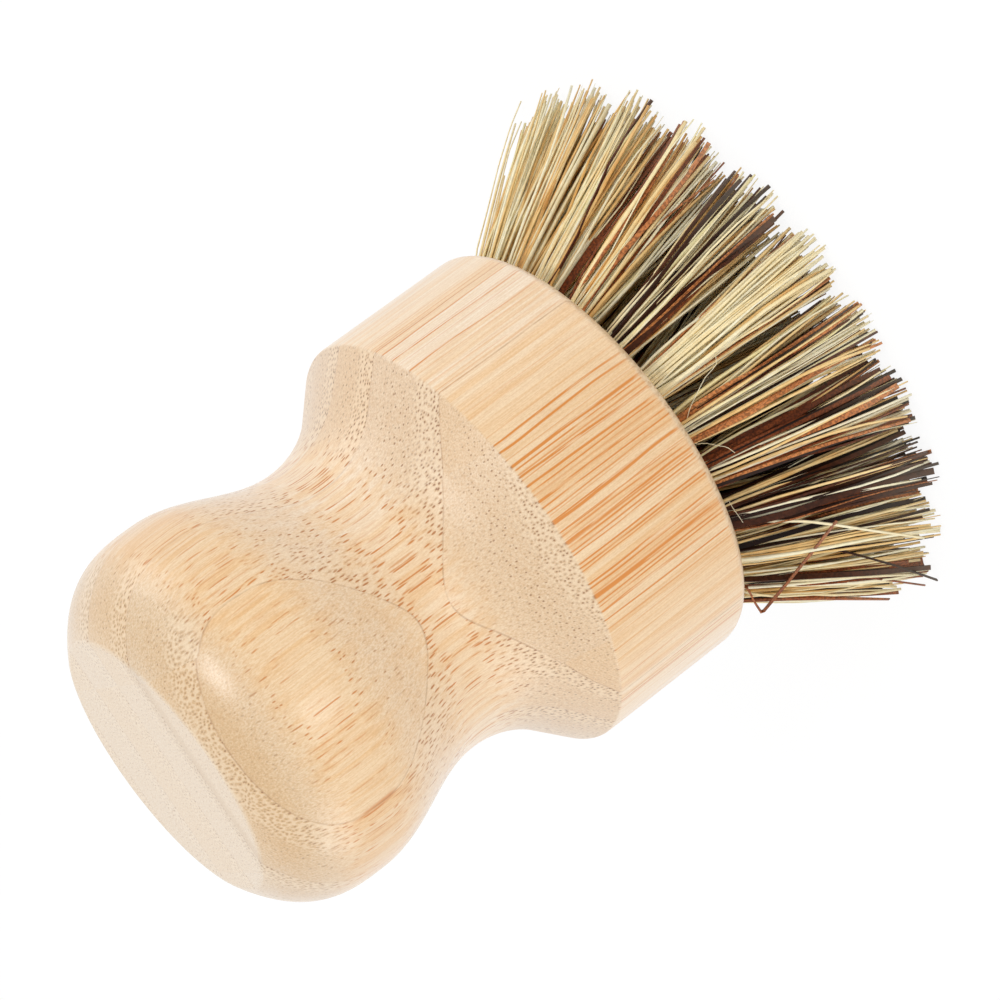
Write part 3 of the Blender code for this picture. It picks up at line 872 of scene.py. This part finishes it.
# The stray fibres: a few ends that slipped past the trimming knives or were bent in the hand,
# and some hair-fine threads split from the straw. Each comes out of the nearest hole. Kind,
# width and flatness, then the points it passes in millimetres.
stray_shapes = {
    "bent_palm": (1, 0.40, 0.6, (
        (-24.0, -5.7, 19.4), (-26.2, -0.6, 17.6), (-28.2, 6.3, 14.7),
        (-26.5, -6.8, 15.9), (-25.1, -13.2, 13.9), (-23.6, -19.0, 11.4),
    )),
    "bent_straw": (0, 0.34, 0.6, (
        (-21.1, -17.6, 14.4), (-22.0, -17.9, 13.4), (-23.8, -18.4, 11.6),
        (-27.7, -17.7, 7.2), (-31.5, -17.0, 2.8),
    )),
    "bent_black": (2, 0.42, 0.5, (
        (-26.0, -12.5, 11.1), (-27.9, -12.7, 9.4), (-32.3, -11.1, 5.1), (-37.0, -7.6, 0.2),
    )),
    "thin_palm": (1, 0.24, 0.7, (
        (-29.1, -7.7, 9.6), (-31.5, -6.8, 7.1), (-34.6, -5.4, 3.2), (-36.9, -4.1, 0.2),
    )),
    "flat_black": (2, 0.72, 0.3, (
        (-23.3, -7.1, 19.3), (-26.7, -7.7, 14.2), (-31.4, -8.4, 7.0), (-35.2, -9.5, 0.8),
    )),
    "low_straw": (0, 0.34, 0.6, (
        (-25.2, -1.9, 17.8), (-27.5, -1.0, 14.7), (-30.2, -1.2, 10.5),
        (-31.7, -3.5, 7.9), (-32.5, -5.8, 6.2),
    )),
    "high_straw": (0, 0.17, 0.9, (
        (26.7, 6.0, 16.5), (30.0, 6.7, 11.8), (33.9, 7.6, 6.4), (36.8, 7.0, 2.4), (38.4, 5.0, 0.2),
    )),
    "side_straw": (0, 0.16, 0.9, (
        (27.0, 6.1, 14.6), (30.9, 7.0, 9.2), (34.5, 7.8, 4.2), (36.6, 8.0, 0.4),
    )),
    "long_thread": (0, 0.07, 0.9, (
        (-4.3, -22.8, 20.8), (-3.2, -23.9, 19.8), (-2.3, -25.0, 18.4),
        (-1.5, -25.9, 17.0), (-1.1, -27.0, 15.4), (0.1, -27.3, 14.7),
    )),
    "low_thread": (0, 0.07, 0.9, (
        (-7.0, -22.1, 20.8), (-7.5, -22.7, 20.2), (-8.3, -23.0, 19.6),
        (-9.2, -23.2, 18.7), (-10.3, -22.9, 18.2),
    )),
    "short_thread": (0, 0.07, 0.9, (
        (-14.2, -18.8, 20.5), (-15.3, -18.2, 20.4), (-16.5, -17.5, 20.1), (-17.7, -16.4, 19.7),
    )),
}
stray_steps = 24

# Each starts 3 mm down its hole
stray_root = np.array([[0.0, 0.0, 0.003], [0.0, 0.0, 0.0]])
stray_twist = np.linspace(-0.5, 0.5, stray_steps)
stray_taper = np.linspace(1.0, 0.8, stray_steps)
for index, (name, (kind, width, flatness, shape)) in enumerate(stray_shapes.items()):
    shape = np.array(shape) / 1000
    place = min(hole_places.values(), key=lambda hole: np.linalg.norm(hole[:3, 3] - shape[0]))
    shape = np.concatenate([moved(stray_root, place), shape])
    length = np.concatenate([[0.0], np.cumsum(np.linalg.norm(np.diff(shape, axis=0), axis=1))])
    stations = np.linspace(0, length[-1], stray_steps)
    path = np.stack([np.interp(stations, length, shape[:, axis]) for axis in range(3)], 1)[None]
    chance = np.random.default_rng(200 + index)
    roll = (chance.uniform(0, pi) + stray_twist)[None]
    widths = (width / 1000 * stray_taper)[None]
    rings = strand_rings(path, widths, np.array([flatness]), roll)
    shades = np.array([chance.uniform(0.3, 0.9)])
    show_fibres("stray_" + name, rings, np.array([kind]), shades, np.linspace(0, 1, stray_steps))


# The floor: a wide pale board that the brush stands on. It is white to the camera, apart from
# the brush's own soft shadow.
floor_half = 2.5
floor_glow = 1.04
floor_glow_share = 0.86
floor_mesh = bpy.data.meshes.new("floor")
floor_corners = np.array([[-1, -1, 0], [1, -1, 0], [1, 1, 0], [-1, 1, 0]]) * floor_half
floor_mesh.from_pydata(floor_corners, [], [(0, 1, 2, 3)])


def seen_directly(tree):
    """One for rays that come from the camera or a mirrored or clear surface, and nought otherwise."""
    path = node(tree, "LightPath")
    glossy = reckon(tree, "MAXIMUM", path.outputs["Is Camera Ray"], path.outputs["Is Glossy Ray"])
    return reckon(tree, "MAXIMUM", glossy, path.outputs["Is Transmission Ray"])


def white_floor():
    """Pale board. Seen directly, most of its white is its own, so the shadow stays faint."""
    material = bpy.data.materials.new("white_floor")
    material.use_nodes = True
    tree = material.node_tree
    tree.nodes.remove(tree.nodes["Principled BSDF"])
    here = node(tree, "TexCoord").outputs["Object"]
    mottle = node(tree, "TexNoise", {"Vector": here, "Scale": 40.0, "Detail": 2.0})
    board = mixed(tree, mottle.outputs["Fac"], paint(246, 246, 246), paint(252, 252, 252))
    matt = node(tree, "BsdfDiffuse", {"Color": board})
    glow = node(tree, "Emission", {"Color": (1.0, 1.0, 1.0, 1.0), "Strength": floor_glow})
    share = product(tree, seen_directly(tree), floor_glow_share)
    blend = node(tree, "MixShader", {0: share, 1: matt.outputs[0], 2: glow.outputs[0]})
    tree.links.new(blend.outputs[0], tree.nodes["Material Output"].inputs["Surface"])
    return material


floor = show("floor", floor_mesh, white_floor())


# The light: a pale room all round, one small soft box up in front, a broad one low down on each
# side and a weak little one near the knob for its second soft glint.
world = bpy.context.scene.world or bpy.data.worlds.new("room")
bpy.context.scene.world = world
world.use_nodes = True
world.node_tree.nodes.clear()
room_light = 0.74
direct = seen_directly(world.node_tree)
room_strength = reckon(world.node_tree, "MULTIPLY_ADD", direct, 1.0 - room_light, room_light)
room = node(world.node_tree, "Background", {"Color": (1.0, 1.0, 1.0, 1.0), "Strength": room_strength})
node(world.node_tree, "OutputWorld", {"Surface": room.outputs[0]})

lamp_middle = Vector((0.0, 0.0, 0.045))


def soft_box(name, azimuth, elevation, distance, size, power):
    """A square lamp facing the brush's middle from an azimuth and elevation in degrees."""
    lamp = bpy.data.lights.new(name, "AREA")
    lamp.size = size
    lamp.energy = power
    box = bpy.data.objects.new(name, lamp)
    bpy.context.scene.collection.objects.link(box)
    turn = radians(azimuth)
    lift = radians(elevation)
    back = Vector((cos(turn) * cos(lift), sin(turn) * cos(lift), sin(lift)))
    box.location = lamp_middle + back * distance
    box.rotation_euler = back.to_track_quat("Z", "Y").to_euler()


soft_box("main_box", -61, 49, 1.0, 0.32, 2.1)
soft_box("low_box", -114.6, -2, 0.24, 0.075, 0.044)
soft_box("left_box", 5, 8, 1.2, 0.80, 2.4)
soft_box("right_box", 178, 8, 1.2, 0.80, 2.8)


# The camera: a long lens from a little above, rolled so that the brush lies aslant. Its place and
# turns put the rim, the sides and the flat where the photograph has them.
camera_distance = 16 * head_radius
camera_height = face_height + 0.18541
camera_turn = radians(-0.1786)
camera_tilt = radians(90 - 21.4347)
camera_roll = radians(-126.7923)
sight = bpy.data.cameras.new("camera")
sight.lens = 146.344
sight.clip_start = 0.01
camera = bpy.data.objects.new("camera", sight)
bpy.context.scene.collection.objects.link(camera)
camera.matrix_world = (
    Matrix.Translation((0.0, -camera_distance, camera_height))
    @ Matrix.Rotation(camera_turn, 4, "Z")
    @ Matrix.Rotation(camera_tilt, 4, "X")
    @ Matrix.Rotation(camera_roll, 4, "Z")
)
bpy.context.scene.camera = camera
bpy.context.scene.view_settings.view_transform = "Standard"
